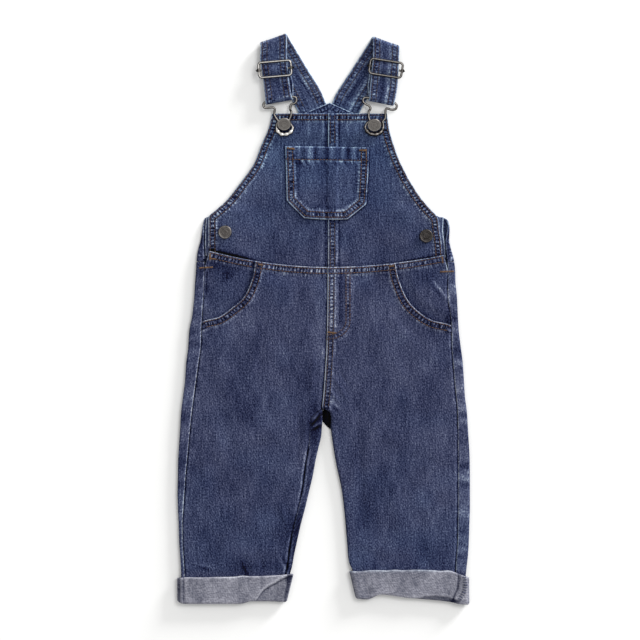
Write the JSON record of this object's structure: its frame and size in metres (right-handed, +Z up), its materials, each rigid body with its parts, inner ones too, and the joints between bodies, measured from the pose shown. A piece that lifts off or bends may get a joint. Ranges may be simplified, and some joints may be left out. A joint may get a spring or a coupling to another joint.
{
  "type": "kids dungarees",
  "caption": "Toddler's denim dungarees laid flat, with a patch pocket on the bib, buckled shoulder straps, hip pockets and turned-up cuffs.",
  "frame": {"origin": "middle of the garment's outline, on the surface that it lies on", "axes": "+Y runs from the leg cuffs to the shoulder straps, +X to the right of a person who looks down at the front, +Z up from the surface"},
  "size_m": [0.2926, 0.5712, 0.0128],
  "materials": {
    "denim": "washed mid-blue twill denim, worn pale at hems and seams",
    "denim_wrong_side": "pale grey-blue wrong side of the denim, turned out at the cuffs",
    "antique_nickel": "antique nickel plate, satin and darkened in the hollows"
  },
  "bodies": {
    "root": {"bib_left": "denim", "bib_right": "denim", "bib_pocket": "denim", "front_left": "denim", "front_right": "denim", "facing_left": "denim", "facing_right": "denim", "back_bib": "denim", "back_left": "denim", "back_right": "denim", "placket_left": "denim", "placket_right": "denim", "strap_left": "denim", "strap_right": "denim", "cuff_left": "denim_wrong_side", "cuff_right": "denim_wrong_side", "slider_left": "antique_nickel", "slider_right": "antique_nickel", "slider_bar_left": "antique_nickel", "slider_bar_right": "antique_nickel", "hook_left": "antique_nickel", "hook_right": "antique_nickel", "bib_button_left": "antique_nickel", "bib_button_right": "antique_nickel", "side_button_left": "antique_nickel", "side_button_right": "antique_nickel"}
  },
  "joints": []
}
